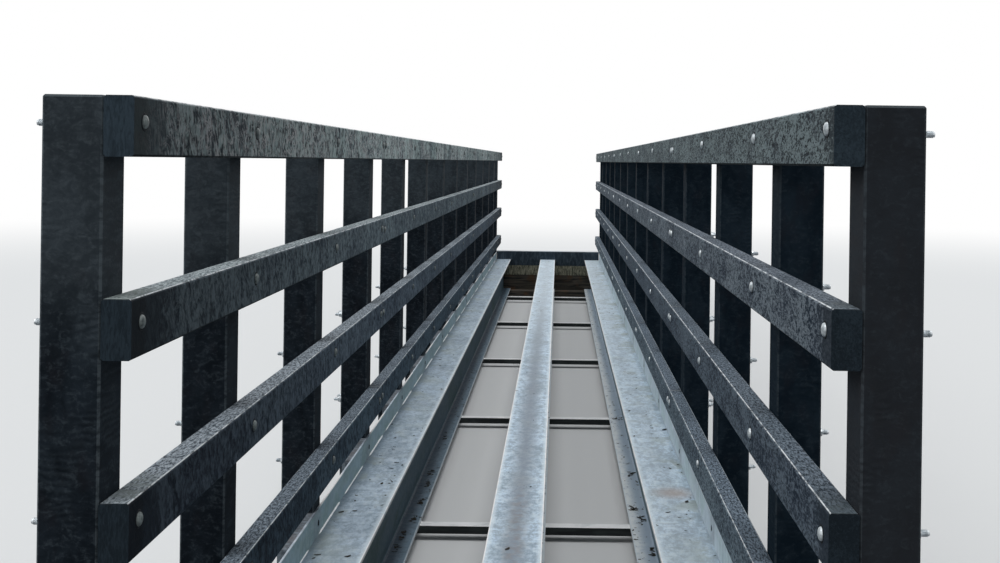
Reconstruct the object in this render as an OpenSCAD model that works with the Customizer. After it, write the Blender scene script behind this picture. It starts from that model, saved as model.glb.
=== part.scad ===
// Footbridge with recycled-plastic post and rail parapets on three galvanised steel beams.
// X runs across the bridge, Y along it and Z up; the origin is under its middle.

/* [Parapets] */
// Spacing of the inner posts, centre to centre
bay = 1000; // [800:10:1200]
// Spacing of an end post from its neighbour
end_bay = 750; // [500:5:1000]
// Number of full bays between the two short end bays
bays = 11; // [9:1:15]
// Side of the square posts
post = 100; // [80:5:125]
// Bevel round the top of a post and along its edges
post_bevel = 4; // [2:1:10]
// How far an inner post reaches below the top of the beams
post_drop = 300; // [200:10:400]
// Height of a rail
rail_h = 100; // [80:5:125]
// Thickness of a rail
rail_t = 50; // [40:5:70]
// Distance from one rail's top to the next
rail_pitch = 330; // [270:5:400]
// Top of the handrail above the top of the beams
handrail_z = 1265; // [1050:5:1520]
// Underside of the kick rail above the top of the beams
kick_z = 175; // [140:5:215]
// Clear width between the rails
clear_w = 1130; // [940:10:1600]
// Chamfer on the long edges of a rail
rail_chamfer = 4; // [1:1:8]
// Gap left at a butt joint in a rail
joint_gap = 3; // [1:1:8]

/* [Bolt ends on the posts' outer faces] */
// Diameter of the bolts through rail and post
bolt_d = 12; // [8:1:16]
// How far a bolt stands out of the post
bolt_out = 27.5; // [12:0.5:40]
// Width of a nut across its flats
nut_flats = 18; // [14:1:24]
// Height of a nut
nut_h = 10; // [7:1:12]
// Height of the bolts above the middle of the rail
bolt_up = 5; // [0:1:15]
// Distance of the two bolts at a butt joint from the post's edges
bolt_edge = 16; // [14:1:25]

/* [Beams] */
// How far the steel beams stop short of the ends of the parapets
beam_inset = 170; // [0:5:300]
// Depth of a beam
beam_d = 355; // [290:1:460]
// Width of a beam's flanges
flange_w = 171.5; // [140:0.5:210]
// Thickness of a beam's flanges
flange_t = 11.5; // [8:0.5:16]
// Thickness of a beam's web
web_t = 7.4; // [6:0.1:12]
// Root radius between web and flange
root_r = 10.2; // [6:0.2:14]

/* [Edge strips, cleats and cross-members] */
// Thickness of the strip along the outer edge of each outer beam
strip_t = 6; // [4:1:10]
// Height of the strip above the beams
strip_up = 82; // [60:1:120]
// Height of the strip below the top of the beams
strip_down = 18; // [12:1:22]
// Diameter of the hole in the strip at each inner post
strip_hole_d = 24; // [10:1:34]
// Height of that hole above the beams
strip_hole_up = 35; // [20:1:40]
// Length of the ledge cleat on the near side of a post
cleat_len = 350; // [200:10:420]
// Width of the ledge cleat
cleat_w = 30; // [20:1:45]
// Depth of the ledge cleat
cleat_h = 60; // [40:1:80]
// Wall of the ledge cleat
cleat_t = 5; // [3:1:8]
// Outer radius of the ledge cleat's fold
cleat_r = 8; // [6:1:12]
// Number of cross-members
crosses = 6; // [4:1:8]
// First cross-member's distance from the end of the beams
cross_end = 817.5; // [300:2.5:1000]
// Width of a cross-member's top leg
cross_w = 60; // [40:5:100]
// Depth of a cross-member's hanging leg
cross_h = 32; // [25:1:50]
// Wall of a cross-member
cross_t = 5; // [4:1:10]
// Clearance of a packer from the beam's root fillets and the strip
packer_gap = 2; // [1:1:6]

/* [Ends] */
// Thickness of the boards on edge across the ends
board_t = 50; // [30:5:60]
// Clearance between the boards' ends and the faces of the posts
board_gap = 10; // [5:5:115]
// Height of the upper end board
board_h = 170; // [120:5:210]
// How far the upper end board stands above the beams
board_up = 100; // [60:5:160]
// Height of the lower timber board across the beam ends
sill_board_h = 230; // [180:5:280]
// Gap between boards that stand one above the other
board_joint = 3; // [1:1:8]
// Thickness of the timber bearer under the beams
bearer_h = 60; // [55:5:120]
// Width of the bearer along the bridge
bearer_w = 200; // [150:10:300]
// How far the bearer stops short of the faces of the posts
bearer_gap = 5; // [0:5:100]

/* [Hidden] */
$fn = 48;
stations = bays + 3;
parapet_len = bays * bay + 2 * end_bay + post;
beam_len = parapet_len - 2 * beam_inset;
post_x = clear_w / 2 + rail_t;
board_len = 2 * (post_x - board_gap);
bearer_len = 2 * (post_x - bearer_gap);
cross_pitch = (beam_len - 2 * cross_end) / (crosses - 1);
beam_x = post_x - strip_t - flange_w / 2;
deck_z = bearer_h + beam_d;
top_z = deck_z + handrail_z;
board_z = deck_z + board_up - board_h;
// The upper timber board fills what is left below the end board
sill_top_z = sill_board_h + board_joint;
sill_top_h = board_z - board_joint - sill_top_z;
packer_low = max(deck_z - post_drop, bearer_h + flange_t + root_r + packer_gap);
packer_top = deck_z - max(flange_t + root_r, strip_down) - packer_gap;
// How far a cutting shape reaches past what it cuts
overcut = 1;
// Posts on which the lengths of a rail meet
cuts_common = [4, 9];
cuts_kick_right = [4, 6, 9];

// Centre of post k along the bridge, counted from 1 at the near end
function station_y(k) =
  let (inner = min(max(k, 2), stations - 1))
  -parapet_len / 2 + post / 2
  + (k > 1 ? end_bay : 0) + (inner - 2) * bay + (k == stations ? end_bay : 0);

// Underside of a rail, numbered from 0 at the handrail down to 3, the kick rail
function rail_z(level) = level < 3 ? top_z - level * rail_pitch - rail_h : deck_z + kick_z;

// Posts on which the lengths of that rail meet
function rail_cuts(side, level) = side > 0 && level == 3 ? cuts_kick_right : cuts_common;

// Bolts in that rail at post k, as distances along the bridge from the post's centre
function bolt_places(side, level, k) =
  len([for (c = rail_cuts(side, level)) if (c == k) c]) > 0
  ? [bolt_edge - post / 2, post / 2 - bolt_edge] : [0];

// Rolled section with its root fillets, centred on the web, standing on z = 0
module beam_section() {
  difference() {
    translate([-flange_w / 2, 0]) square([flange_w, beam_d]);
    for (side = [-1, 1])
      difference() {
        translate([side > 0 ? web_t / 2 : -flange_w / 2 - overcut, flange_t])
          square([flange_w / 2 - web_t / 2 + overcut, beam_d - 2 * flange_t]);
        translate([side * web_t / 2, flange_t]) root_fillet(side, 1);
        translate([side * web_t / 2, beam_d - flange_t]) root_fillet(side, -1);
      }
  }
}

module root_fillet(side, up) {
  difference() {
    translate([side > 0 ? 0 : -root_r, up > 0 ? 0 : -root_r]) square(root_r);
    translate([side * root_r, up * root_r]) circle(r = root_r);
  }
}

module beam() {
  color("lightsteelblue")
    translate([0, beam_len / 2, bearer_h])
      rotate([90, 0, 0]) linear_extrude(beam_len) beam_section();
}

// Flat bar welded on edge to the outer edge of an outer beam's top flange
module edge_strip(side) {
  color("silver")
    difference() {
      translate([side > 0 ? post_x - strip_t : -post_x, -beam_len / 2, deck_z - strip_down])
        cube([strip_t, beam_len, strip_up + strip_down]);
      for (k = [2 : stations - 1])
        translate([side * (post_x - strip_t / 2), station_y(k), deck_z + strip_hole_up])
          rotate([0, 90, 0]) cylinder(h = strip_t + 2 * overcut, d = strip_hole_d, center = true);
    }
}

// Folded ledge with a closed near end, on the strip's outer face before post k
module post_cleat(k) {
  y_end = station_y(k) - post / 2;
  translate([post_x, y_end, deck_z + strip_up - cleat_h]) rotate([90, 0, 0]) {
    linear_extrude(cleat_len)
      difference() {
        cleat_outline(cleat_w, cleat_h, cleat_r);
        translate([cleat_t, -overcut])
          cleat_outline(cleat_w - 2 * cleat_t, cleat_h - cleat_t + overcut, cleat_r - cleat_t);
      }
    translate([0, 0, cleat_len - cleat_t])
      linear_extrude(cleat_t) cleat_outline(cleat_w, cleat_h, cleat_r);
  }
}

// Upright rectangle whose outer top corner is rounded
module cleat_outline(w, h, r) {
  square([w, h - r]);
  square([w - r, h]);
  translate([w - r, h - r]) circle(r = r);
}

module post_cleats(side) {
  color("silver")
    mirror([side > 0 ? 0 : 1, 0, 0])
      for (k = [2 : stations - 1]) post_cleat(k);
}

// Blocks that pack the web of an outer beam out to the posts
module packers(side) {
  color("dimgray")
    mirror([side > 0 ? 0 : 1, 0, 0])
      for (k = [2 : stations - 1])
        translate([beam_x + web_t / 2, station_y(k) - post / 2, packer_low])
          cube([post_x - beam_x - web_t / 2, post, packer_top - packer_low]);
}

// Angle under all three beams, its leg hanging from the near edge
module cross_member(n) {
  half = beam_x + flange_w / 2;
  y = (n - (crosses + 1) / 2) * cross_pitch;
  color("silver")
    translate([-half, y - cross_w / 2, bearer_h]) rotate([90, 0, 90])
      linear_extrude(2 * half)
        polygon([[0, 0], [0, -cross_h], [cross_t, -cross_h], [cross_t, -cross_t],
                 [cross_w, -cross_t], [cross_w, 0]]);
}

// Square post whose upright edges and top are bevelled
module post_solid(z_from) {
  h = top_z - z_from;
  translate([0, 0, z_from])
    intersection() {
      linear_extrude(h) translate([-post / 2, -post / 2]) chamfered(post, post, post_bevel);
      post_side_view(h);
      rotate([0, 0, 90]) post_side_view(h);
    }
}

module post_side_view(h) {
  w = post / 2;
  b = post_bevel;
  translate([0, w + overcut, 0]) rotate([90, 0, 0]) linear_extrude(post + 2 * overcut)
    polygon([[-w, 0], [w, 0], [w, h - b], [w - b, h], [b - w, h], [-w, h - b]]);
}

// The two posts at station k; the end ones stand in the bank
module post_pair(k) {
  z_from = k == 1 || k == stations ? 0 : deck_z - post_drop;
  color("darkslategray")
    for (side = [-1, 1])
      translate([side * (post_x + post / 2), station_y(k), 0]) post_solid(z_from);
}

// Nut and bolt end on a post's outer face
module bolt_end() {
  rotate([0, 90, 0]) {
    cylinder(h = nut_h, d = nut_flats / cos(30), $fn = 6);
    cylinder(h = bolt_out, d = bolt_d, $fn = 8);
  }
}

// The ends of all bolts that hold one parapet's rails to its posts
module bolt_ends(side) {
  color("silver")
    mirror([side > 0 ? 0 : 1, 0, 0])
      for (k = [1 : stations], level = [0 : 3], along = bolt_places(side, level, k))
        translate([post_x + post, station_y(k) + along, rail_z(level) + rail_h / 2 + bolt_up])
          bolt_end();
}

// Rail of butted lengths along one side
module rail(side, level) {
  ends = concat([1], rail_cuts(side, level), [stations]);
  last = len(ends) - 2;
  color("slategray")
    for (i = [0 : last]) {
      y0 = i == 0 ? -parapet_len / 2 : station_y(ends[i]) + joint_gap / 2;
      y1 = i == last ? parapet_len / 2 : station_y(ends[i + 1]) - joint_gap / 2;
      translate([side > 0 ? clear_w / 2 : -clear_w / 2 - rail_t, y1, rail_z(level)])
        rotate([90, 0, 0]) linear_extrude(y1 - y0) chamfered(rail_t, rail_h, rail_chamfer);
    }
}

module chamfered(w, h, c) {
  polygon([[c, 0], [w - c, 0], [w, c], [w, h - c], [w - c, h], [c, h], [0, h - c], [0, c]]);
}

// Board on edge against the ends of the beams
module board(end, z, h, shade) {
  color(shade)
    translate([-board_len / 2, end > 0 ? beam_len / 2 : -beam_len / 2 - board_t, z])
      cube([board_len, board_t, h]);
}

// Timber boards one above the other, below the end board
module sill_boards(end) {
  board(end, 0, sill_board_h, "saddlebrown");
  if (sill_top_h > 0) board(end, sill_top_z, sill_top_h, "tan");
}

// Timber under the ends of the beams
module bearer(end) {
  color("saddlebrown")
    translate([-bearer_len / 2, end > 0 ? beam_len / 2 - bearer_w : -beam_len / 2, 0])
      cube([bearer_len, bearer_w, bearer_h]);
}

translate([-beam_x, 0, 0]) beam();  // beam_left
beam();  // beam_centre
translate([beam_x, 0, 0]) beam();  // beam_right
edge_strip(-1);  // edge_strip_left
edge_strip(1);  // edge_strip_right
post_cleats(-1);  // post_cleats_left
post_cleats(1);  // post_cleats_right
packers(-1);  // packers_left
packers(1);  // packers_right
bolt_ends(-1);  // bolt_ends_left
bolt_ends(1);  // bolt_ends_right
for (n = [1 : crosses]) cross_member(n);
for (k = [1 : stations]) post_pair(k);
rail(-1, 0);  // handrail_left
rail(-1, 1);  // upper_rail_left
rail(-1, 2);  // lower_rail_left
rail(-1, 3);  // kick_rail_left
rail(1, 0);  // handrail_right
rail(1, 1);  // upper_rail_right
rail(1, 2);  // lower_rail_right
rail(1, 3);  // kick_rail_right
board(-1, board_z, board_h, "darkslategray");  // end_board_near
board(1, board_z, board_h, "darkslategray");  // end_board_far
sill_boards(-1);  // sill_board_near
sill_boards(1);  // sill_board_far
bearer(-1);  // bearer_near
bearer(1);  // bearer_far
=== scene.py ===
import math
import random

import bmesh
import bpy
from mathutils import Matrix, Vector


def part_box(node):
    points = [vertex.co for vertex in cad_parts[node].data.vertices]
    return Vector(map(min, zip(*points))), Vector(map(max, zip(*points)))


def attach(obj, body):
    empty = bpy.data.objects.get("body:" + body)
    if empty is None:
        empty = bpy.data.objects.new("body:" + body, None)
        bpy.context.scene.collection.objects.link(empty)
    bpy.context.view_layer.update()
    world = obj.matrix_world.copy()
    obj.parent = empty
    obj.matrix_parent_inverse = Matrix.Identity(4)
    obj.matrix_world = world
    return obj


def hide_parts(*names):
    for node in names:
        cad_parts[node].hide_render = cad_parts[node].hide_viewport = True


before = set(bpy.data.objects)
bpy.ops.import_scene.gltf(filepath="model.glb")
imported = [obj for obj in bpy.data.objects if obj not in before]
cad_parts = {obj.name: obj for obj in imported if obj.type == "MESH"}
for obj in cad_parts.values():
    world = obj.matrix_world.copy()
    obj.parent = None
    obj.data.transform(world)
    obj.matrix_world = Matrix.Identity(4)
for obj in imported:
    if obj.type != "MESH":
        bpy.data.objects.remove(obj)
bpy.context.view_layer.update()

print("frame loaded", len(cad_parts), "nodes")

# camera: lens and sensor in millimetres, place and clipping in metres, roll in degrees, and shift in
# shares of the sensor's width
view = {"lens": 43.64, "sensor": 36, "place": (0.122, -8.257, 1.582), "roll": -0.784,
        "shift": (-0.0593, -0.12), "clip": (0.05, 400)}

camera = bpy.data.objects.new("camera", bpy.data.cameras.new("camera"))
bpy.context.scene.collection.objects.link(camera)
camera.data.sensor_width = view["sensor"]
camera.data.lens = view["lens"]
camera.data.shift_x, camera.data.shift_y = view["shift"]
camera.data.clip_start, camera.data.clip_end = view["clip"]
camera.location = view["place"]
camera.rotation_euler = (math.radians(90), math.radians(view["roll"]), 0)
bpy.context.scene.camera = camera
bpy.context.scene.view_settings.view_transform = "Standard"


# places, read from the frame
def lowest(node, axis):
    return getattr(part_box(node)[0], axis)


def highest(node, axis):
    return getattr(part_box(node)[1], axis)


def middle(node, axis):
    return (lowest(node, axis) + highest(node, axis)) / 2


def levels(node, axis):
    # the different places along an axis at which a node's mesh has corners, to a tenth of a millimetre
    return sorted({round(getattr(v.co, axis), 4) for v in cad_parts[node].data.vertices})


railNames = ("handrail", "upper_rail", "lower_rail", "kick_rail")
postCount = sum(name.startswith("post_pair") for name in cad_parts)
stations = [middle("post_pair_%d" % k, "y") for k in range(1, postCount + 1)]
bay = stations[2] - stations[1]
railMiddles = [middle(name + "_left", "z") for name in railNames]
railFace = lowest("handrail_right", "x")
bridgeEnd = highest("handrail_right", "y")
postOut = highest("post_pair_2", "x")
beamTop = highest("beam_centre", "z")
beamHalf = highest("beam_centre", "x")
beamPitch = middle("beam_right", "x")
flangeTop = levels("beam_centre", "z")[1]
stripIn = lowest("edge_strip_right", "x")
stripTop = highest("edge_strip_right", "z")
stripEnd = highest("edge_strip_right", "y")
boardTop = highest("end_board_far", "z")
sillLevels = levels("sill_board_far", "z")
sillJoint = (sillLevels[1] + sillLevels[2]) / 2


def meetings(which, rail):
    # the posts on which two lengths of a rail meet, within a centimetre of the post's middle
    ends = levels("%s_%s" % (rail, which), "y")
    return [k for k, y in enumerate(stations, 1) if any(abs(y - end) < 0.01 for end in ends)]


# colours and shader sums
def rgb(*screen):
    # a colour as a screen shows it, 0 to 255, in the linear values that a shader takes
    linear = [((c / 255 + 0.055) / 1.055) ** 2.4 if c > 10 else c / 255 / 12.92 for c in screen]
    return (*linear, 1.0)


def toned(colour, factor):
    # factor is one number, or one for each of red, green and blue
    factors = factor if isinstance(factor, tuple) else (factor,) * 3
    return (*(min(c * f, 1.0) for c, f in zip(colour, factors)), 1.0)


class Socket:
    # an output that can stand in a sum
    def __init__(self, graph, socket):
        self.graph, self.socket = graph, socket

    def maths(self, operation, *values):
        return self.graph.node("ShaderNodeMath", {"operation": operation}, dict(enumerate(values)))

    def __add__(self, other):
        return self.maths("ADD", self, other)

    def __sub__(self, other):
        return self.maths("SUBTRACT", self, other)

    def __rsub__(self, other):
        return self.maths("SUBTRACT", other, self)

    def __mul__(self, other):
        return self.maths("MULTIPLY", self, other)

    def __mod__(self, other):
        return self.maths("FLOORED_MODULO", self, other)

    def __rmod__(self, other):
        return self.maths("FLOORED_MODULO", other, self)

    def __abs__(self):
        return self.maths("ABSOLUTE", self)

    __radd__ = __add__
    __rmul__ = __mul__


class Graph:
    # the node tree of a material or of the world
    def __init__(self, owner):
        owner.use_nodes = True
        self.tree = owner.node_tree
        self.tree.nodes.clear()

    def node(self, kind, settings=None, sockets=None, out=0):
        made = self.tree.nodes.new(kind)
        for key, value in (settings or {}).items():
            setattr(made, key, value)
        for key, value in (sockets or {}).items():
            if isinstance(value, Socket):
                self.tree.links.new(value.socket, made.inputs[key])
            else:
                made.inputs[key].default_value = value
        return Socket(self, made.outputs[out]) if made.outputs else None


class Paint(Graph):
    # a material: x, y and z are the place on the bridge in metres, faceX to faceZ the way a face points
    def __init__(self, name):
        self.material = bpy.data.materials.new(name)
        super().__init__(self.material)
        self.place = self.node("ShaderNodeTexCoord", out="Object")
        self.x, self.y, self.z = self.parts(self.place)
        facing = self.node("ShaderNodeNewGeometry", out="True Normal")
        self.faceX, self.faceY, self.faceZ = self.parts(facing)

    def parts(self, vector):
        first = self.node("ShaderNodeSeparateXYZ", None, {0: vector})
        return [Socket(self, output) for output in first.socket.node.outputs]

    def joined(self, x, y, z):
        return self.node("ShaderNodeCombineXYZ", None, {0: x, 1: y, 2: z})

    def stretched(self, x, y, z, shift=0.0):
        # the place, scaled along each axis, and moved so that pieces differ
        scaled = self.node("ShaderNodeVectorMath", {"operation": "MULTIPLY"}, {0: self.place, 1: (x, y, z)})
        move = (shift, shift * 1.7, -shift)
        return self.node("ShaderNodeVectorMath", {"operation": "ADD"}, {0: scaled, 1: move})

    def noise(self, vector, scale=1.0, detail=4.0, rough=0.55, twist=0.0):
        return self.node("ShaderNodeTexNoise", None, {"Vector": vector, "Scale": scale, "Detail": detail,
                                                      "Roughness": rough, "Distortion": twist})

    def cells(self, vector, scale, out="Distance"):
        return self.node("ShaderNodeTexVoronoi", {"feature": "F1"}, {"Vector": vector, "Scale": scale}, out)

    def ramp(self, value, low, high, start=0.0, end=1.0):
        # start at low and end at high, smooth between; low may be the larger of the two
        return self.node("ShaderNodeMapRange", {"interpolation_type": "SMOOTHSTEP"},
                         {0: value, 1: low, 2: high, 3: start, 4: end})

    def before(self, value, limit, distances):
        # 0 at the first distance before a limit and 1 at the second
        return self.ramp(value, limit - distances[0], limit - distances[1])

    def upward(self):
        # 1 on faces that look up
        return self.ramp(self.faceZ, 0.4, 0.8)

    def mix(self, mask, first, second, how="MIX"):
        return self.node("ShaderNodeMix", {"data_type": "RGBA", "blend_type": how, "clamp_factor": True},
                         {0: mask, 6: first, 7: second}, 2)

    def bump(self, height, depth, under=None):
        # depth in metres, over another bump where one is given
        sockets = {"Height": height, "Distance": depth, "Strength": 1.0}
        if under:
            sockets["Normal"] = under
        return self.node("ShaderNodeBump", None, sockets, "Normal")

    def done(self, colour, rough, normal, metal=0.0, gloss=0.5):
        self.ends(self.node("ShaderNodeBsdfPrincipled", None,
                            {"Base Color": colour, "Roughness": rough, "Normal": normal,
                             "Metallic": metal, "Specular IOR Level": gloss}))
        return self.material

    def ends(self, shader):
        self.node("ShaderNodeOutputMaterial", None, {"Surface": shader})


def wear(node, material):
    # the node's slots get the material, and its shape stays
    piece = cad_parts[node]
    if not piece.material_slots:
        piece.data.materials.append(material)
    for slot in piece.material_slots:
        slot.material = material


# the plastic of the rails: colours, lengths in metres, and what each side and each rail has of its own
#   lean, squat, fold: the folds' slant, how low they are for their width, and how close they stand
#   endFade, brownEdge: distances from the end at which the shade and the brown begin and are full
#   rubAndSheen: distances below the top at which the pale top line, worn plastic and a painted highlight,
#       begins and is full
#   joint: the same, from the middle, for the pale line where two lengths meet
#   tone, topTone: factors on the colours of the face and of the top; deep: one more on the face's darks
#   spread: softness of the marks; ridges, rub: strength of the pale ridges and of the pale top line
#   plainLength: smooth length at the ends; cutTone: factor on the sawn ends
railLook = {
    "dark": rgb(28, 39, 49), "mid": rgb(121, 129, 134), "vein": rgb(161, 169, 172),
    "plain": rgb(43, 50, 57), "purple": rgb(62, 66, 80), "brown": rgb(40, 43, 46),
    "under": rgb(11, 15, 18), "shade": rgb(147, 148, 151), "topDark": rgb(48, 57, 66),
    "topPale": rgb(162, 173, 183), "topEnd": rgb(115, 125, 127), "edge": rgb(234, 240, 244),
    "cut": rgb(37, 46, 53), "cutLine": rgb(172, 179, 182), "lean": 0.22, "endFade": (3.2, -0.6),
    "brownEdge": (0.08, 0.055), "rubAndSheen": (0.0022, 0.0011), "joint": (0.0065, 0.003),
    "rough": (0.6, 0.74), "gloss": 0.03, "firstShift": 3.1, "nextShift": 4.7,
    "left": {
        "squat": 0.72, "fold": 23, "brownEnd": 0.6, "endShade": 1.0,
        "handrail": {"tone": (2.83, 3.05, 2.8), "deep": 0.5, "topTone": 1.0,
                     "spread": 0.065, "ridges": 0.7, "rubSheen": 0.6, "plainLength": 0.22, "cutTone": 2.0},
        "upper_rail": {"tone": (1.15, 1.28, 1.32), "deep": 1.0, "topTone": (1.52, 1.49, 1.37),
                       "spread": 0.09, "ridges": 0.3, "rubSheen": 0.85, "plainLength": 0.22, "cutTone": 1.4},
        "lower_rail": {"tone": (0.83, 0.95, 1.09), "deep": 1.0, "topTone": (1.13, 1.11, 1.09),
                       "spread": 0.09, "ridges": 0.2, "rubSheen": 0.85, "plainLength": 0.22, "cutTone": 1.2},
        "kick_rail": {"tone": (0.54, 0.7, 0.84), "deep": 1.0, "topTone": (0.63, 0.66, 0.69),
                      "spread": 0.09, "ridges": 0.15, "rubSheen": 0.75, "plainLength": 0.22, "cutTone": 1.2}},
    "right": {
        "squat": 2.3, "fold": 27, "brownEnd": 0.2, "endShade": 0.05,
        "handrail": {"tone": (1.08, 1.18, 1.15), "deep": 0.5, "topTone": 1.0,
                     "spread": 0.04, "ridges": 0.3, "rubSheen": 0.6, "plainLength": 0.04, "cutTone": 1.6},
        "upper_rail": {"tone": (1.03, 1.08, 1.15), "deep": 1.0, "topTone": (0.7, 0.71, 0.74),
                       "spread": 0.055, "ridges": 0.2, "rubSheen": 0.85, "plainLength": 0.12, "cutTone": 1.1},
        "lower_rail": {"tone": (0.76, 0.84, 0.95), "deep": 1.0, "topTone": (0.56, 0.6, 0.64),
                       "spread": 0.07, "ridges": 0.2, "rubSheen": 0.85, "plainLength": 0.12, "cutTone": 1.0},
        "kick_rail": {"tone": (1.08, 1.22, 1.32), "deep": 1.0, "topTone": (0.63, 0.69, 0.75),
                      "spread": 0.07, "ridges": 0.2, "rubSheen": 0.75, "plainLength": 0.12, "cutTone": 1.0}}}


def railPlastic(which, rail, number):
    p = Paint("rail_plastic_%s_%s" % (which, rail))
    sideLook, own = railLook[which], railLook[which][rail]
    tone, topTone, squat = own["tone"], own["topTone"], sideLook["squat"]
    shift = railLook["firstShift"] + railLook["nextShift"] * number
    # flow marks of the moulding: soft clouds, upright folds, a fine felt and wavy pale ridges
    flow = p.joined(p.x * 2, p.y + p.z * railLook["lean"] + shift, p.z * squat)
    clouds = p.noise(flow, 5, detail=3, rough=0.55, twist=0.5)
    folds = p.noise(flow, sideLook["fold"], detail=4, rough=0.65, twist=1.9)
    wide = p.joined(p.x * 2, p.y * 0.5 + shift, p.z * squat * 0.6)
    felt = p.noise(wide, 130, detail=2, rough=0.7, twist=0.6)
    marks = p.ramp(clouds * 0.15 + folds * 0.5 + felt * 0.35, 0.5 - own["spread"], 0.5 + own["spread"])
    patch = p.noise(p.stretched(1, 1, 1, shift), 3.1, detail=3, rough=0.5)
    crease = abs(p.noise(flow, 26, detail=4, rough=0.6, twist=1.8) - 0.5)
    ridges = p.ramp(crease, 0.05, 0.0) * p.ramp(patch, 0.34, 0.56)
    darkTone = tuple(t * own["deep"] for t in tone)
    colour = p.mix(marks, toned(railLook["dark"], darkTone), toned(railLook["mid"], tone))
    colour = p.mix(p.ramp(clouds, 0.56, 0.42) * 0.15, colour, toned(railLook["purple"], tone))
    colour = p.mix(ridges * own["ridges"], colour, toned(railLook["vein"], tone))
    # the ends came out of the mould smooth
    inward = bridgeEnd - abs(p.y)
    smooth = p.ramp(inward + (folds - 0.5) * 0.2, own["plainLength"], own["plainLength"] * 0.5)
    colour = p.mix(smooth * 0.75, colour, toned(railLook["plain"], tone))
    brownEnd = p.ramp(inward + (felt - 0.5) * 0.05, *railLook["brownEdge"]) * sideLook["brownEnd"]
    colour = p.mix(brownEnd, colour, toned(railLook["brown"], tone))
    # painted shade: towards the ends of the bridge the rails are darker, most of all on the left
    endShade = p.ramp(inward, *railLook["endFade"]) * sideLook["endShade"]
    colour = p.mix(endShade, colour, railLook["shade"], "MULTIPLY")
    # painted shade: faces that look down are darker
    colour = p.mix(p.ramp(p.faceZ, -0.3, -0.6) * 0.8, colour, railLook["under"])
    # weathered tops, grained like sand
    speck = p.noise(p.stretched(1, 0.3, 1, shift), 200, detail=4, rough=0.75, twist=0.3)
    sand = p.ramp(speck * 0.85 + folds * 0.15, 0.4, 0.6)
    top = p.mix(sand, toned(railLook["topDark"], topTone), toned(railLook["topPale"], topTone))
    waves = p.ramp(p.noise(p.stretched(9, 50, 9, shift), rough=0.6, twist=0.4), 0.4, 0.6)
    top = p.mix(smooth * (0.25 + 0.5 * waves), top, toned(railLook["topEnd"], topTone))
    top = p.mix(p.ramp(patch, 0.48, 0.66) * 0.35, top, toned(railLook["topDark"], topTone))
    colour = p.mix(p.ramp(p.faceZ, 0.8, 0.95), colour, top)
    # a thin pale line along the top arrises: worn plastic and a painted highlight
    railTop = highest("%s_%s" % (rail, which), "z")
    arris = p.before(p.z, railTop, railLook["rubAndSheen"]) * p.ramp(p.faceZ, 0.97, 0.85)
    patchyWearSheen = p.ramp(p.noise(p.stretched(1, 1, 1, shift), 26, detail=4, rough=0.7), 0.38, 0.56)
    colour = p.mix(arris * (0.15 + own["rubSheen"] * patchyWearSheen), colour, railLook["edge"])
    # sawn ends, and a pale line where two lengths meet
    sawn = [toned(railLook["cut"], own["cutTone"] * factor) for factor in (0.75, 1.25)]
    colour = p.mix(p.ramp(abs(p.faceY), 0.6, 0.9) * 0.95, colour,
                   p.mix(p.ramp(felt * 0.6 + clouds * 0.4, 0.4, 0.6), *sawn))
    for k in meetings(which, rail):
        line = p.ramp(abs(p.y - stations[k - 1]), *railLook["joint"])
        colour = p.mix(line * (0.25 + 0.6 * p.ramp(p.faceZ, 0.3, 0.8)), colour, railLook["cutLine"])
    normal = p.bump(folds * 0.6 + clouds * 0.4, depth=0.002)
    normal = p.bump(felt * 0.5 + speck * 0.5, depth=0.0008, under=normal)
    return p.done(colour, p.ramp(marks, 0, 1, *railLook["rough"]), normal, gloss=railLook["gloss"])


# the plastic of the posts and packers, in metres: ripple is the distance between two ripples, and the
# warmer grey of the nearest post on the right fades out over nearReach past its middle; the colours for the
# right side and the shade colours are painted shade, and the two lighter colours for the upper part of the
# left posts are painted light
postLook = {
    "dark": rgb(19, 29, 38), "mid": rgb(43, 55, 65), "worn": rgb(83, 93, 99),
    "brown": rgb(42, 42, 48), "edge": rgb(101, 111, 117), "top": rgb(99, 109, 113),
    "upperLit": rgb(60, 67, 72), "upperLitPale": rgb(79, 86, 91), "shade": rgb(24, 28, 32),
    "shadePale": rgb(36, 40, 46), "right": rgb(19, 32, 42), "nearRight": rgb(58, 57, 58),
    "rightShadeAmount": 0.5, "rightContrast": 0.4, "upperLitHeight": (1.28, 1.5), "ripple": 0.012,
    "nearReach": (0.3, 0.1), "rough": (0.55, 0.7), "gloss": 0.025}


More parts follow.
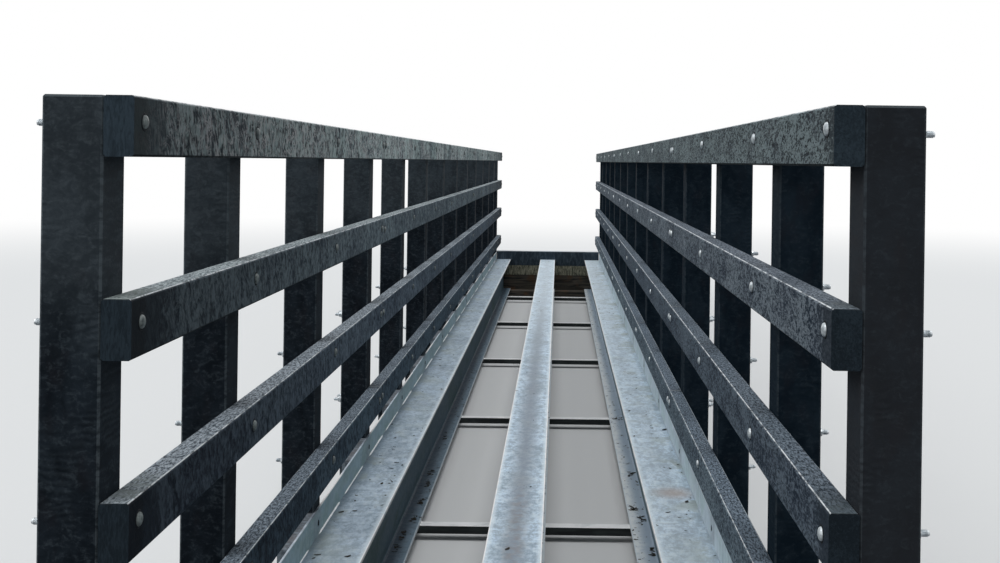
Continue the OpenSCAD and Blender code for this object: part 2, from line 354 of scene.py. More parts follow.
def postPlastic():
    p = Paint("post_plastic")
    apart = p.joined(p.x * 3, p.y, p.z * 1.6)
    patch = p.noise(apart, 4.5, detail=4, rough=0.6, twist=0.4)
    soft = p.noise(p.joined(p.x * 2, p.y * 0.8, p.z * 3), 24, detail=4, rough=0.65, twist=0.7)
    grain = p.noise(p.place, 190, detail=2, rough=0.6)
    colour = p.mix(p.ramp(patch * 0.7 + soft * 0.3, 0.38, 0.62), postLook["dark"], postLook["mid"])
    colour = p.mix(p.ramp(p.noise(apart, 8, detail=3), 0.5, 0.72) * 0.6, colour, postLook["brown"])
    # painted shade: the posts of the right side are darker and calmer, and the nearest of them is a warmer
    # grey
    left = p.ramp(p.x, 0.1, -0.1)
    right = 1 - left
    calm = p.ramp(p.x, 0.1, -0.1, start=postLook["rightContrast"], end=1.0)
    nearest = p.ramp(p.y, *(stations[0] + reach for reach in postLook["nearReach"]))
    colour = p.mix(right * postLook["rightShadeAmount"], colour, postLook["right"])
    colour = p.mix(right * nearest * 0.45, colour, postLook["nearRight"])
    # painted light and shade: those of the left are lighter in their upper part and darker below
    upperLit = p.ramp(p.z + patch * 0.2, *postLook["upperLitHeight"])
    marks = p.ramp(soft * 0.5 + patch * 0.3 + grain * 0.2, 0.38, 0.64)
    colour = p.mix(left * upperLit * 0.65, colour, p.mix(marks, postLook["upperLit"], postLook["upperLitPale"]))
    colour = p.mix(left * (1 - upperLit) * 0.6, colour, p.mix(marks, postLook["shade"], postLook["shadePale"]))
    colour = p.mix(p.ramp(soft * 0.7 + grain * 0.3, 0.5, 0.68) * 0.3 * calm, colour, postLook["worn"])
    # shallow ripples in a few places, where the plastic shrank in its mould
    metreBands = 0.31  # the wave's scale at which its bands lie a metre apart
    ripple = p.node("ShaderNodeTexWave", {"wave_type": "BANDS", "bands_direction": "Z"},
                    {"Vector": p.place, "Scale": metreBands / postLook["ripple"], "Distortion": 9.0,
                     "Detail": 3.0, "Detail Scale": 0.6, "Detail Roughness": 0.65}, "Fac")
    where = p.ramp(p.noise(apart, 3.6, detail=2, rough=0.5), 0.56, 0.7)
    colour = p.mix(ripple * where * 0.12 * calm, colour, postLook["worn"])
    # painted shade: the inner faces on the right are darker and plainer, from the second post on
    inner = p.ramp(p.faceX, -0.4, -0.8) * right * p.ramp(p.y, stations[0] + 0.1, stations[1] - 0.1)
    colour = p.mix(inner * 0.85, colour, postLook["right"])
    # upright bevels a little lighter: a painted highlight, with some wear
    bevel = p.ramp(abs(p.faceX) * abs(p.faceY), 0.3, 0.45)
    colour = p.mix(bevel * p.ramp(soft, 0.35, 0.6, start=0.15, end=0.6) * calm, colour, postLook["edge"])
    colour = p.mix(p.ramp(p.faceZ, 0.5, 0.9) * 0.6, colour, postLook["top"])
    normal = p.bump(ripple * where, depth=0.0006)
    normal = p.bump(soft * 0.7 + grain * 0.3, depth=0.0005, under=normal)
    return p.done(colour, p.ramp(soft, 0.3, 0.7, *postLook["rough"]), normal, gloss=postLook["gloss"])


# galvanised steel
zincLook = {"pale": rgb(204, 226, 245), "mid": rgb(172, 195, 213), "deep": rgb(126, 143, 157),
            "white": rgb(229, 242, 250), "glint": rgb(255, 255, 255), "metal": 0.05, "gloss": 0.4,
            "rough": (0.5, 0.66)}


def zinc(p):
    # clouds, spangle and a fine mottle, common to the beams and the strips
    flake = p.parts(p.cells(p.place, 62, "Color"))[0]
    cloud = p.noise(p.stretched(1, 0.6, 1), 7, detail=5, rough=0.6, twist=0.5)
    mottle = p.noise(p.stretched(1, 0.5, 1), 42, detail=5, rough=0.78)
    bands = p.noise(p.stretched(5, 50, 5), detail=4, rough=0.65, twist=0.4)
    colour = p.mix(p.ramp(cloud, 0.36, 0.62), zincLook["mid"], zincLook["pale"])
    colour = p.mix(p.ramp(mottle, 0.46, 0.6) * 0.6, colour, zincLook["deep"])
    colour = p.mix(p.ramp(mottle, 0.5, 0.38) * 0.6, colour, zincLook["white"])
    colour = p.mix(p.ramp(bands, 0.5, 0.68) * 0.35, colour, zincLook["deep"])
    colour = p.mix(flake * 0.1, colour, zincLook["deep"])
    normal = p.bump(mottle * 0.5 + flake * 0.1 + cloud * 0.4, depth=0.0006)
    rough = p.ramp(flake * 0.4 + cloud * 0.6, 0.2, 0.8, *zincLook["rough"])
    return colour, rough, normal, cloud


# the beams; places and lengths in metres, and band to lowEdge are distances from a flange's edge
beamLook = {
    "middle": rgb(129, 141, 154), "web": rgb(92, 116, 130), "webGreen": rgb(80, 105, 108),
    "green": rgb(164, 175, 171), "foot": rgb(111, 129, 144), "stain": rgb(132, 126, 122),
    "rust": rgb(180, 160, 148), "speck": rgb(59, 64, 65), "lowLeft": rgb(113, 134, 150),
    "lowRight": rgb(244, 251, 254), "rootLeft": rgb(44, 60, 75), "rootRight": rgb(183, 203, 222),
    "lowDirt": rgb(31, 34, 35), "leftShade": 0.34, "rightLight": 0.22,
    "rustPlace": (0.545, -3.97, 0.0), "rustSize": 0.11, "stainSpan": (-3.65, -4.2),
    "stainHalf": (0.045, 0.006), "lowHeight": (0.1, 0.08), "troddenSpan": (-1.5, 4.5),
    "sheenSpan": (-2, 3), "footWidth": (0.035, 0.004), "band": (0.02, 0.005),
    "arris": (0.005, 0.002), "rim": (0.004, 0.001), "lowEdge": (0.008, 0.002)}


def beamSteel():
    p = Paint("galvanised_beam")
    colour, rough, normal, cloud = zinc(p)
    # distance from the middle of the beam that a place is on
    across = abs((p.x + beamPitch * 1.5) % beamPitch - beamPitch / 2)
    outer = p.ramp(abs(p.x), beamPitch - 0.03, stripIn - 0.01)
    centre = p.ramp(abs(p.x), beamPitch / 2 + 0.01, beamPitch / 2 - 0.01)
    # painted light and shade: the left beam is duller than the others, the right one paler
    onLeft = p.ramp(p.x, -beamPitch / 2 + 0.05, -beamPitch / 2 - 0.05)
    onRight = p.ramp(p.x, beamPitch / 2 - 0.05, beamPitch / 2 + 0.05)
    colour = p.mix(onLeft * beamLook["leftShade"], colour, beamLook["middle"])
    colour = p.mix(onRight * beamLook["rightLight"], colour, zincLook["white"])
    # the trodden middle is darker, most of all on the centre beam
    trodden = p.ramp(across + (cloud - 0.5) * 0.05, beamHalf * 0.85, 0.0)
    trodden = trodden * p.ramp(p.y, *beamLook["troddenSpan"], start=1.0, end=0.3)
    colour = p.mix(trodden * (0.12 + 0.78 * centre), colour, beamLook["middle"])
    # painted sheen: further along, the centre and the right beam are paler
    farSheen = p.ramp(p.y, *beamLook["sheenSpan"]) * p.ramp(p.x, -0.2, -0.05)
    colour = p.mix(farSheen * 0.35, colour, zincLook["white"])
    # greenish bloom, most of all towards the strips, and a darker foot beside the left one, painted shade
    # with some dirt
    bloom = p.ramp(p.noise(p.stretched(7, 5, 1, 4.0), detail=5, rough=0.65, twist=0.6), 0.46, 0.64)
    colour = p.mix(bloom * (0.25 + 0.5 * outer) * (1 - centre * 0.6), colour, beamLook["green"])
    foot = p.ramp(p.x, *(-stripIn + width for width in beamLook["footWidth"]))
    colour = p.mix(foot * 0.6, colour, beamLook["foot"])
    # a brown water stain on the centre beam, a rusty one on the right, and pin specks
    blot = p.ramp(p.noise(p.place, 30, detail=4), 0.4, 0.6)
    stain = p.ramp(abs(p.x), *beamLook["stainHalf"]) * p.ramp(p.y, *beamLook["stainSpan"]) * blot
    colour = p.mix(stain * 0.5, colour, beamLook["stain"])
    away = p.node("ShaderNodeVectorMath", {"operation": "DISTANCE"},
                  {0: p.joined(p.x, p.y, 0.0), 1: beamLook["rustPlace"]}, "Value")
    rusty = p.ramp(away, beamLook["rustSize"], beamLook["rustSize"] * 0.1)
    colour = p.mix(rusty * 0.6, colour, beamLook["rust"])
    pin = p.ramp(p.cells(p.stretched(1, 1, 1, 2.0), 34), 0.13, 0.07)
    pin = pin * p.ramp(p.noise(p.place, 3.5, detail=2), 0.5, 0.62)
    colour = p.mix(pin * 0.6, colour, beamLook["speck"])
    # pale band, and a painted highlight on the arris, along the free edges of a flange
    free = 1 - outer
    band = p.before(across, beamHalf, beamLook["band"]) * free
    colour = p.mix(band * 0.6, colour, zincLook["white"])
    arris = p.before(across, beamHalf, beamLook["arris"]) * free
    bright = p.ramp(p.noise(p.place, 14, detail=3, rough=0.6), 0.34, 0.52, start=0.4, end=1.0)
    colour = p.mix(arris * bright, colour, zincLook["glint"])
    # painted shade: webs and the undersides of the flanges are darker than the tops, with green patches
    upward = p.upward()
    green = p.ramp(p.noise(p.stretched(2, 1.4, 6), 1.5, detail=3), 0.45, 0.65)
    webColour = p.mix(green, beamLook["web"], beamLook["webGreen"])
    webColour = p.mix(p.ramp(cloud, 0.4, 0.7) * 0.3, webColour, zincLook["deep"])
    rim = p.before(across, beamHalf, beamLook["rim"])
    colour = p.mix((1 - upward) * (1 - rim * 0.8), colour, webColour)
    # painted light and shade: bottom flanges darker towards the root and on the left and paler on the
    # right, with clumps of wet dirt
    low = p.ramp(p.z, *beamLook["lowHeight"]) * upward
    dirty = p.noise(p.stretched(1, 0.7, 1), 30, detail=5, rough=0.7)
    rightwards = p.ramp(p.x, -0.1, 0.1)
    lowColour = p.mix(rightwards, beamLook["lowLeft"], beamLook["lowRight"])
    root = p.mix(rightwards, beamLook["rootLeft"], beamLook["rootRight"])
    lowColour = p.mix(p.ramp(across + (cloud - 0.5) * 0.03, 0.075, 0.025) * 0.9, lowColour, root)
    lowColour = p.mix(p.ramp(dirty, 0.46, 0.62) * 0.35, lowColour, root)
    lowColour = p.mix(p.ramp(dirty, 0.62, 0.66) * 0.9, lowColour, beamLook["lowDirt"])
    # a painted highlight along the free edge of each bottom flange
    lowEdge = p.before(across, beamHalf, beamLook["lowEdge"])
    lowColour = p.mix(lowEdge * 0.6, lowColour, zincLook["white"])
    colour = p.mix(low, colour, lowColour)
    return p.done(colour, rough, normal, zincLook["metal"], zincLook["gloss"])


# the strips on the outer beams, in metres: the face is duller over before and after, the lengths beside a
# post, a painted shade in the colour dirt; past it the top edge is bright from brightStart to brightEnd, a
# painted highlight, and dull from dullStart on, a painted shade
stripLook = {"left": rgb(147, 175, 182), "leftGreen": rgb(132, 160, 158),
             "right": rgb(216, 229, 237), "rightGreen": rgb(198, 217, 219),
             "dirt": rgb(99, 100, 109), "hole": rgb(42, 48, 53),
             "before": (0.1, 0.05), "after": (0.07, 0.0), "brightStart": (0.0, 0.05),
             "brightEnd": (0.46, 0.38), "dullStart": (0.8, 0.92), "edge": (0.0045, 0.002),
             "holeEdge": (0.005, 0.01)}


def stripSteel(which):
    p = Paint("galvanised_strip_" + which)
    colour, rough, normal, cloud = zinc(p)
    bloom = p.ramp(p.noise(p.stretched(3, 5, 9, 6.0), detail=5, rough=0.65, twist=0.5), 0.42, 0.62)
    # painted shade: the left strip's face is darker than the right's
    face = p.mix(bloom, stripLook[which], stripLook[which + "Green"])
    runs = p.noise(p.stretched(6, 40, 9), detail=4, rough=0.7)
    face = p.mix(p.ramp(runs, 0.46, 0.66) * 0.4, face, zincLook["deep"])
    # painted shade: the stretch beside a post is duller; along is the distance past the last post
    along = (p.y - stations[1]) % bay
    beside = p.before(along, bay, stripLook["before"]) + p.ramp(along, *stripLook["after"])
    face = p.mix(beside * 0.35, face, stripLook["dirt"])
    colour = p.mix(p.upward(), p.mix(0.8, colour, face), colour)
    # painted highlight: the top edge is bright for a stretch past each post, and painted shade makes it
    # dull before the next
    bright = p.ramp(along, *stripLook["brightEnd"]) * p.ramp(along, *stripLook["brightStart"])
    dull = p.ramp(along, *stripLook["dullStart"])
    edge = p.before(p.z, stripTop, stripLook["edge"])
    colour = p.mix(edge * (0.25 + 0.75 * bright) * (1 - dull * 0.7), colour, zincLook["glint"])
    colour = p.mix(edge * dull * 0.65, colour, stripLook["dirt"])
    # painted shade on the walls of the holes
    near, far = stripLook["holeEdge"]
    inHole = p.ramp(abs(p.faceX) + p.faceZ, 0.9, 0.6) * p.ramp(p.z, stripTop - near, stripTop - far)
    colour = p.mix(inHole * p.ramp(p.z, beamTop + near, beamTop + far), colour, stripLook["hole"])
    return p.done(colour, rough, normal, zincLook["metal"], zincLook["gloss"])


# the cleats on the strips
cleatLook = {"pale": rgb(132, 141, 150), "dark": rgb(85, 92, 100), "brown": rgb(102, 96, 98),
             "rough": (0.5, 0.68)}


def cleatSteel():
    p = Paint("galvanised_cleat")
    mottle = p.noise(p.place, 60, detail=4, rough=0.65)
    patch = p.noise(p.place, 18, detail=3, rough=0.6)
    colour = p.mix(p.ramp(mottle, 0.4, 0.62), cleatLook["dark"], cleatLook["pale"])
    colour = p.mix(p.ramp(patch, 0.48, 0.62) * 0.5, colour, cleatLook["brown"])
    rough = p.ramp(mottle, 0.3, 0.7, *cleatLook["rough"])
    return p.done(colour, rough, p.bump(mottle, depth=0.0005), zincLook["metal"], zincLook["gloss"])


# the cross-members, with painted light on their tops and painted shade on their legs
crossLook = {"top": rgb(252, 254, 255), "topDull": rgb(208, 215, 218),
             "leg": rgb(38, 44, 45), "legLight": rgb(62, 69, 69), "rough": 0.6}


def crossSteel():
    p = Paint("galvanised_cross_member")
    dull = p.ramp(p.noise(p.stretched(14, 30, 14), detail=4, rough=0.6), 0.45, 0.7)
    top = p.mix(dull * 0.7, crossLook["top"], crossLook["topDull"])
    light = p.ramp(p.noise(p.stretched(6, 20, 30), detail=3), 0.45, 0.65)
    leg = p.mix(light, crossLook["leg"], crossLook["legLight"])
    # painted light on faces that look up, painted shade on the legs
    colour = p.mix(p.upward(), leg, top)
    return p.done(colour, crossLook["rough"], p.bump(dull, depth=0.0005), gloss=zincLook["gloss"])


# timber of the sill boards and bearers
timberLook = {"light": rgb(96, 90, 82), "dark": rgb(48, 50, 50), "brown": rgb(104, 74, 50),
              "line": rgb(30, 32, 32), "upperPale": rgb(176, 174, 154), "upperDark": rgb(84, 88, 76),
              "rough": 0.85, "gloss": 0.2}


def timber():
    p = Paint("timber")
    rings = p.noise(p.stretched(2.2, 30, 34), detail=5, rough=0.6, twist=1.2)
    lines = p.noise(p.stretched(5, 160, 190), detail=3, rough=0.6)
    colour = p.mix(p.ramp(rings, 0.38, 0.62), timberLook["dark"], timberLook["light"])
    colour = p.mix(p.ramp(lines, 0.5, 0.75) * 0.5, colour, timberLook["line"])
    colour = p.mix(p.ramp(p.noise(p.place, 5, detail=3), 0.52, 0.66) * 0.6, colour, timberLook["brown"])
    # the upper board is bleached, with dark upright runs
    runs = p.noise(p.stretched(70, 30, 14), detail=4, rough=0.7, twist=0.8)
    upper = p.mix(p.ramp(runs, 0.4, 0.6), timberLook["upperDark"], timberLook["upperPale"])
    colour = p.mix(p.ramp(p.z, sillJoint - 0.001, sillJoint + 0.001) * 0.9, colour, upper)
    normal = p.bump(lines * 0.6 + rings * 0.4, depth=0.0012)
    return p.done(colour, timberLook["rough"], normal, gloss=timberLook["gloss"])


# the dark boards across the ends; rubbed holds distances below the top, in metres, of a pale top line that
# is worn plastic and a painted highlight
boardLook = {"dark": rgb(44, 56, 66), "pale": rgb(74, 87, 98), "edge": rgb(228, 235, 240),
             "rubAndSheen": (0.009, 0.003), "rough": 0.7, "gloss": 0.18}


def boardPlastic():
    p = Paint("board_plastic")
    streaks = p.noise(p.stretched(30, 10, 9), detail=4, rough=0.6, twist=1.0)
    colour = p.mix(p.ramp(streaks, 0.4, 0.68), boardLook["dark"], boardLook["pale"])
    # a pale line along the top: worn plastic and a painted highlight
    colour = p.mix(p.before(p.z, boardTop, boardLook["rubAndSheen"]) * 0.9, colour, boardLook["edge"])
    return p.done(colour, boardLook["rough"], p.bump(streaks, depth=0.001), gloss=boardLook["gloss"])


# each material, and how the names of the nodes that wear it begin
dressed = ((postPlastic(), ("post_pair", "packers")), (beamSteel(), ("beam",)),
           (cleatSteel(), ("post_cleats",)), (crossSteel(), ("cross_member",)),
           (timber(), ("sill_board", "bearer")), (boardPlastic(), ("end_board",)))
for material, starts in dressed:
    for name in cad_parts:
        if name.startswith(starts):
            wear(name, material)
for number, rail in enumerate(railNames):
    wear(rail + "_left", railPlastic("left", rail, number))
    wear(rail + "_right", railPlastic("right", rail, number + len(railNames)))
for which in ("left", "right"):
    wear("edge_strip_" + which, stripSteel(which))
print("materials on the frame")


# small pieces in mesh code
def meshPiece(name, bm, material, smooth=True):
    mesh = bpy.data.meshes.new(name)
    bmesh.ops.recalc_face_normals(bm, faces=bm.faces)
    for face in bm.faces:
        face.smooth = smooth
    bm.to_mesh(mesh)
    bm.free()
    mesh.materials.append(material)
    piece = bpy.data.objects.new(name, mesh)
    bpy.context.scene.collection.objects.link(piece)
    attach(piece, "root")
    return piece


def turned(bm, profile, place, axis, segments=20, twist=0.0):
    # a profile of (radius, height) turned about an axis that starts at place
    turn = Vector((0, 0, 1)).rotation_difference(Vector(axis)).to_matrix()
    rings = []
    for radius, height in profile:
        count = segments if radius > 1e-6 else 1
        angles = [math.tau * i / count + twist for i in range(count)]
        points = [Vector((radius * math.cos(a), radius * math.sin(a), height)) for a in angles]
        rings.append([bm.verts.new(Vector(place) + turn @ point) for point in points])
    for lower, upper in zip(rings, rings[1:]):
        for i in range(segments):
            j = (i + 1) % segments
            corners = [lower[i % len(lower)], lower[j % len(lower)],
                       upper[j % len(upper)], upper[i % len(upper)]]
            bm.faces.new([v for n, v in enumerate(corners) if v not in corners[:n]])


# the small pieces' colours, pale and dull, and how metallic; the left bolts are darker than the right ones
# as painted shade, and the left welds near white as a painted highlight
smallLook = {"zinc_bolt_left": (rgb(122, 132, 132), rgb(66, 76, 78), 0.0),
             "zinc_bolt_right": (rgb(222, 230, 234), rgb(160, 170, 176), 0.4),
             "zinc_nut": (rgb(240, 246, 250), rgb(184, 194, 200), 0.4),
             "zinc_weld_left": (rgb(252, 254, 255), rgb(236, 244, 250), 0.7),
             "zinc_weld_right": (rgb(176, 194, 208), rgb(150, 168, 182), 0.1)}
smallRough = (0.35, 0.55)


def smallZinc(name):
    pale, dull, metal = smallLook[name]
    p = Paint(name)
    cloud = p.noise(p.place, 120, detail=3, rough=0.6)
    colour = p.mix(p.ramp(cloud, 0.35, 0.7), pale, dull)
    rough = p.ramp(cloud, 0.3, 0.7, *smallRough)
    return p.done(colour, rough, p.bump(cloud, depth=0.0003), metal)


# domed bolts, each with a dark ring round its head as painted shade, in metres; shadeRingRim and
# shadeRingInner pair a share of the radius with a height
# seen holds the rise above the rail's middle of those read from the photo, from the handrail down, and
# the others get rise with a random part of up to spread
bolts = {"head": 0.0118, "dome": 0.0064, "rim": 0.0014, "curve": (12, 30, 50, 70), "shoulder": 0.98,
         "shadeRing": 0.016, "shadeRingRim": ((1.0, -0.0005), (1.0, 0.0003), (0.93, 0.0008)),
         "shadeRingInner": (1.01, 0.0004),
         "rise": 0.006, "spread": 0.005, "wander": 0.005, "apart": 0.034, "seed": 41,
         "shadeRingDark": rgb(12, 16, 20), "shadeRingPale": rgb(28, 34, 40), "shadeRingRough": 0.75, "shadeRingGloss": 0.15,
         "seen": {("right", 1): (0.012, 0.010, 0.001), ("right", 2): (0.010, 0.003, 0.0),
                  ("right", 3): (0.010, 0.003, 0.001, 0.011), ("right", 4): (0.002, 0.007, 0.007, 0.008),
                  ("right", 5): (None, 0.005, 0.0, 0.009), ("left", 1): (0.008, 0.008, 0.012),
                  ("left", 2): (0.007, 0.006), ("left", 3): (None, 0.005, 0.011, 0.009)}}
chance = random.Random(bolts["seed"])


# a dark ring round each bolt head: painted shade
def shadeRingMaterial():
    p = Paint("bolt_shade_ring")
    cloud = p.noise(p.place, 160, detail=3, rough=0.6)
    colour = p.mix(cloud, bolts["shadeRingDark"], bolts["shadeRingPale"])
    return p.done(colour, bolts["shadeRingRough"], p.bump(cloud, depth=0.0004), gloss=bolts["shadeRingGloss"])


boltShadeRing = shadeRingMaterial()


def boltPlaces(which):
    # rail, post and place along the bridge of each rail bolt on one side: two where lengths meet, else one
    for level, rail in enumerate(railNames):
        for k, y in enumerate(stations, 1):
            for along in ((-bolts["apart"], bolts["apart"]) if k in meetings(which, rail) else (0.0,)):
                yield level, k, y + along


def railBolts(which, sign):
    heads, shadeRings = bmesh.new(), bmesh.new()
    r, rim, high = bolts["head"], bolts["rim"], bolts["dome"]
    curve = [math.radians(d) for d in bolts["curve"]]
    dome = [(r * math.cos(a) * bolts["shoulder"], rim + (high - rim) * math.sin(a)) for a in curve]
    dome = [(r, 0.0), (r, rim), *dome, (0, high)]
    shadeRing = [(bolts["shadeRing"] * share, height) for share, height in bolts["shadeRingRim"]]
    shadeRing.append((r * bolts["shadeRingInner"][0], bolts["shadeRingInner"][1]))
    for level, k, y in boltPlaces(which):
        seen = dict(enumerate(bolts["seen"].get((which, k), ()))).get(level)
        rise = bolts["rise"] + chance.uniform(-1, 1) * bolts["spread"] if seen is None else seen
        wander = chance.uniform(-bolts["wander"], bolts["wander"])
        at = (sign * railFace, y + wander, railMiddles[level] + rise)
        turned(heads, dome, at, (-sign, 0, 0))
        turned(shadeRings, shadeRing, at, (-sign, 0, 0))
    meshPiece("rail_bolts_" + which, heads, smallZinc("zinc_bolt_" + which))
    meshPiece("rail_bolt_shade_rings_" + which, shadeRings, boltShadeRing)


# nuts on the far ends of those bolts, with washers and threads, in metres; out is how far a bolt stands
# out, and bevelled, rim, hole, crest and tip are shares of the sizes that they go with
nuts = {"across": 0.0104, "high": 0.010, "bevelled": 0.84, "lowBevel": 0.0006, "topBevel": 0.0012,
        "washer": 0.0132, "washerThick": 0.0025, "rim": (0.97, 0.8), "hole": 0.8, "thread": 0.006,
        "pitch": 0.00175, "depth": 0.0009, "crest": (0.45, 0.6), "tip": 0.92, "lead": 0.001,
        "out": 0.0274, "rise": 0.005}
nutSteel = smallZinc("zinc_nut")


def nutAndThread(bm, at, axis, twist):
    across, washer, thick = nuts["across"], nuts["washer"], nuts["washerThick"]
    rimOut, rimHigh = nuts["rim"]
    turned(bm, [(0.0, 0.0), (washer, 0.0), (washer, thick * rimHigh), (washer * rimOut, thick),
                (across * nuts["hole"], thick)], at, axis)
    top, crest = thick + nuts["high"], nuts["thread"]
    flat = across * nuts["bevelled"]
    turned(bm, [(flat, thick), (across, thick + nuts["lowBevel"]), (across, top - nuts["topBevel"]),
                (flat, top), (crest, top)], at, axis, segments=6, twist=twist)
    out, pitch, lead, root = nuts["out"], nuts["pitch"], nuts["lead"], crest - nuts["depth"]
    turns = int((out - top - lead) / pitch)
    rise, fall = (pitch * share for share in nuts["crest"])
    profile = [(root, top - lead)]
    for i in range(turns):
        start = top + i * pitch
        profile += [(root, start), (crest, start + rise), (crest, start + fall)]
    profile += [(root, top + turns * pitch), (root * nuts["tip"], out), (0.0, out)]
    turned(bm, profile, at, axis, segments=12)


def boltEnds(which, sign):
    bm = bmesh.new()
    for level, k, y in boltPlaces(which):
        at = (sign * postOut, y, railMiddles[level] + nuts["rise"])
        nutAndThread(bm, at, (sign, 0, 0), chance.uniform(0, 1))
    piece = meshPiece("rail_nuts_" + which, bm, nutSteel, smooth=False)
    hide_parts("bolt_ends_" + which)


sides = (("left", -1), ("right", 1))
for which, sign in sides:
    railBolts(which, sign)
    boltEnds(which, sign)
print("bolts and nuts")

# stitch welds at the foot of the edge strips, a strong one past each post and a thinner one before
# the next: each run is its start and stop past the post, and its size; the profile is in shares of that
welds = {"runs": ((0.01, 0.36, 0.0044), (0.46, 0.85, 0.003)),
         "profile": ((0.82, 0.3), (0.5, 0.58), (0.22, 0.9)),
         "sunk": 0.002, "wave": 0.0005, "step": 0.011, "endGap": 0.01, "endSize": 0.35, "taper": 2}


def stripWelds(which, sign):
    bm = bmesh.new()
    end, sunk, tip = stripEnd - welds["endGap"], welds["sunk"], welds["endSize"]
    for post in [stations[1] - bay] + stations[1:-1]:
        for start, stop, size in welds["runs"]:
            first, last = max(post + start, -end), min(post + stop, end)
            count = int((last - first) / welds["step"])
            if count < 2:
                continue
            rings = []
            for i in range(count + 1):
                y = first + (last - first) * i / count
                ease = min(1.0, min(i, count - i) / welds["taper"])
                leg = (size + chance.uniform(-1, 1) * welds["wave"]) * (tip + (1 - tip) * ease)
                curve = [(leg * a, leg * b) for a, b in welds["profile"]]
                points = [(0.0, -sunk), (leg, -sunk), *curve, (-sunk, leg)]
                rings.append([bm.verts.new((sign * (stripIn - a), y, beamTop + b)) for a, b in points])
            for one, two in zip(rings, rings[1:]):
                for n in range(len(one) - 1):
                    bm.faces.new((one[n], one[n + 1], two[n + 1], two[n]))
            bm.faces.new(rings[0])
            bm.faces.new(rings[-1])
    meshPiece("strip_welds_" + which, bm, smallZinc("zinc_weld_" + which))


for which, sign in sides:
    stripWelds(which, sign)
print("welds")

# dry crumbs of dirt and leaf on the beams, in metres: random ones on the top and the bottom flanges,
# placed ones as (x, y, size) on the top, and clumps round (x, y) on the bottom flange
litter = {"seed": 7, "dark": rgb(20, 24, 26), "pale": rgb(66, 62, 54), "size": (0.004, 0.016),
          "corners": 7, "slim": (0.3, 0.7), "uneven": (0.7, 1), "lift": (0.05, 0.3),
          "rimHeight": 0.0004, "midHeight": 0.0012, "rough": 0.9, "gloss": 0.2,
          "onTop": {"left": 190, "centre": 30, "right": 150}, "topReach": 0.078,
          "below": {"left": 340, "centre": 220, "right": 300}, "lowReach": (0.024, 0.08),
          "endGap": 0.2, "perClump": 12, "clumpReach": (0.012, 0.05),
          "placed": {"left": ((-0.53, -3.38, 0.009), (-0.565, -3.49, 0.009), (-0.47, -3.79, 0.008)),
                     "centre": (),
                     "right": ((0.596, -2.96, 0.02), (0.545, -2.93, 0.009), (0.594, -3.34, 0.008),
                               (0.552, -3.12, 0.009), (0.598, -3.57, 0.009), (0.534, -4.27, 0.008),
                               (0.561, -4.23, 0.008), (0.6, -4.65, 0.008), (0.577, -4.08, 0.014),
                               (0.563, -3.63, 0.014), (0.5, -4.21, 0.014), (0.457, -3.09, 0.013),
                               (0.465, -2.57, 0.013))},
          "clumps": {"left": ((-0.477, -1.67), (-0.476, -2.41), (-0.469, -2.61), (-0.468, -2.9),
                              (-0.471, -3.17), (-0.486, -3.38), (-0.487, -3.55)),
                     "centre": (),
                     "right": ((0.472, -1.13), (0.5, -1.13), (0.53, -1.13), (0.492, -2.36),
                               (0.518, -2.56), (0.465, -2.95), (0.493, -3.13), (0.506, -3.55))}}
crumbs = random.Random(litter["seed"])


def crumb(bm, x, y, z, size):
    # a thin flake with an uneven rim
    turn = crumbs.uniform(0, math.tau)
    short = size * crumbs.uniform(*litter["slim"])
    count, rim = litter["corners"], []
    for i in range(count):
        a = math.tau * i / count
        px = size * math.cos(a) * crumbs.uniform(*litter["uneven"])
        py = short * math.sin(a) * crumbs.uniform(*litter["uneven"])
        lift = litter["rimHeight"] + abs(px) * crumbs.uniform(*litter["lift"])
        rim.append(bm.verts.new((x + px * math.cos(turn) - py * math.sin(turn),
                                 y + px * math.sin(turn) + py * math.cos(turn), z + lift)))
    mid = bm.verts.new((x, y, z + litter["midHeight"]))
    for i in range(count):
        bm.faces.new((rim[i], rim[(i + 1) % count], mid))


def dryDirt():
    p = Paint("dry_dirt")
    cloud = p.noise(p.place, 90, detail=3, rough=0.6)
    colour = p.mix(cloud, litter["dark"], litter["pale"])
    return p.done(colour, litter["rough"], p.bump(cloud, depth=0.0006), gloss=litter["gloss"])


dirt = dryDirt()


def beamLitter(name):
    bm = bmesh.new()
    beamX = middle("beam_" + name, "x")
    reach = bridgeEnd - litter["endGap"]
    small, large = litter["size"]
    wide, clumpX, clumpY = litter["topReach"], *litter["clumpReach"]
    for _ in range(litter["onTop"][name]):
        x, y = beamX + crumbs.uniform(-wide, wide), crumbs.uniform(-reach, reach)
        crumb(bm, x, y, beamTop, crumbs.uniform(small, large) * crumbs.random() ** 0.5)
    for x, y, size in litter["placed"][name]:
        crumb(bm, x, y, beamTop, size)
    for _ in range(litter["below"][name]):
        x = beamX + crumbs.choice((-1, 1)) * crumbs.uniform(*litter["lowReach"])
        y = crumbs.uniform(-reach, reach)
        crumb(bm, x, y, flangeTop, crumbs.uniform(small, large) * crumbs.random() ** 0.5)
    for clump in litter["clumps"][name]:
        for _ in range(litter["perClump"]):
            x = clump[0] + crumbs.uniform(-clumpX, clumpX)
            y = clump[1] + crumbs.uniform(-clumpY, clumpY)
            crumb(bm, x, y, flangeTop, crumbs.uniform(small, large))
    meshPiece("dirt_on_beam_" + name, bm, dirt, smooth=False)


for name in ("left", "centre", "right"):
    beamLitter(name)
print("dirt on the beams")

# floor, backdrop and light; lengths in metres, and a lamp is its strength, its width and the turn that
# aims it, in degrees
studio = {"ambient": 0.38, "tint": (0.97, 0.985, 1.0, 1.0), "white": (1, 1, 1, 1),
          "floor": rgb(226, 228, 229), "floorBounce": rgb(140, 142, 144),
          "rings": (3, 8, 16, 28, 60, 140, 300), "around": 48, "level": -0.0005, "fade": (9, 26),
          "lamps": {"top_light": (1.17, 34, (7, 4, 0)), "side_light": (1.1, 46, (45, 0, -68))}}


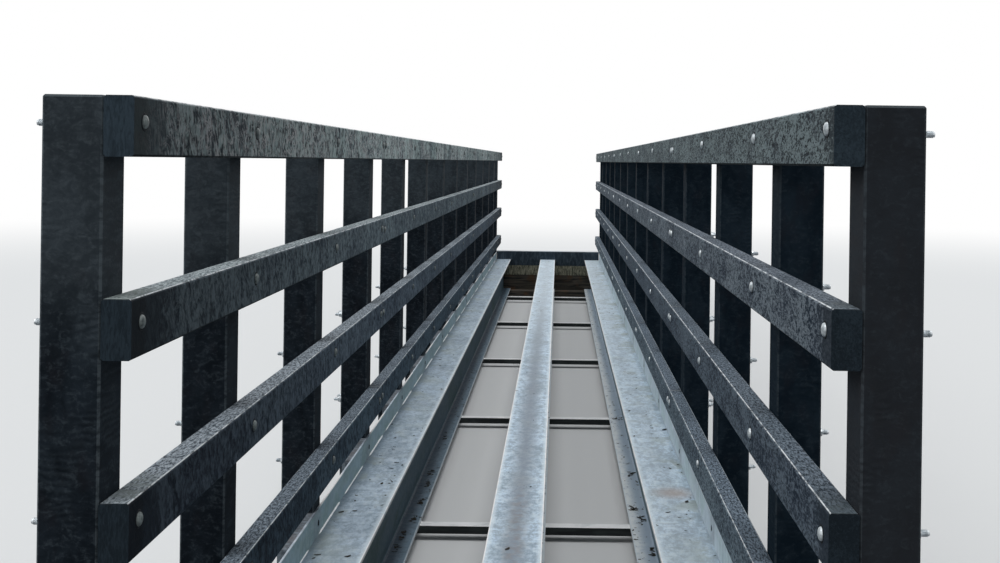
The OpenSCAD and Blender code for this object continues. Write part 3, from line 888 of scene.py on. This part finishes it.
def studioFloor():
    bm = bmesh.new()
    count, level = studio["around"], studio["level"]
    angles = [math.tau * i / count for i in range(count)]
    last = [bm.verts.new((0, 0, level))] * count
    for radius in studio["rings"]:
        ring = [bm.verts.new((radius * math.cos(a), radius * math.sin(a), level)) for a in angles]
        for i in range(count):
            j = (i + 1) % count
            corners = (last[i], ring[i], ring[j], last[j])
            bm.faces.new(corners if last[i] is not last[j] else corners[:3])
        last = ring
    mesh = bpy.data.meshes.new("studio_floor")
    bm.to_mesh(mesh)
    bm.free()
    floor = bpy.data.objects.new("studio_floor", mesh)
    bpy.context.scene.collection.objects.link(floor)
    # the camera sees a pale floor that fades to white, and the bridge gets less light from it
    p = Paint("studio_floor")
    away = p.node("ShaderNodeVectorMath", {"operation": "LENGTH"}, {0: p.place}, "Value")
    ray = p.node("ShaderNodeLightPath", out="Is Camera Ray")
    seen = p.node("ShaderNodeBsdfDiffuse", None, {"Color": studio["floor"]})
    bounced = p.node("ShaderNodeBsdfDiffuse", None, {"Color": studio["floorBounce"]})
    matt = p.node("ShaderNodeMixShader", None, {0: ray, 1: bounced, 2: seen})
    glow = p.node("ShaderNodeEmission", None, {"Color": studio["white"], "Strength": 1.0})
    p.ends(p.node("ShaderNodeMixShader", None, {0: p.ramp(away, *studio["fade"]) * ray, 1: matt, 2: glow}))
    mesh.materials.append(p.material)


def studioWorld():
    world = bpy.data.worlds.new("studio")
    bpy.context.scene.world = world
    g = Graph(world)
    seen = g.node("ShaderNodeLightPath", out="Is Camera Ray")
    for ray in ("Is Glossy Ray", "Is Transmission Ray"):
        seen = seen.maths("MAXIMUM", seen, g.node("ShaderNodeLightPath", out=ray))
    soft = g.node("ShaderNodeBackground", None, {"Color": studio["tint"], "Strength": studio["ambient"]})
    white = g.node("ShaderNodeBackground", None, {"Color": studio["white"], "Strength": 1.0})
    both = g.node("ShaderNodeMixShader", None, {0: seen, 1: soft, 2: white})
    g.node("ShaderNodeOutputWorld", None, {"Surface": both})


def softLamps():
    for name, (strength, width, turn) in studio["lamps"].items():
        lamp = bpy.data.objects.new(name, bpy.data.lights.new(name, "SUN"))
        lamp.data.energy = strength
        lamp.data.angle = math.radians(width)
        lamp.rotation_euler = [math.radians(a) for a in turn]
        bpy.context.scene.collection.objects.link(lamp)


studioFloor()
studioWorld()
softLamps()
print("studio")
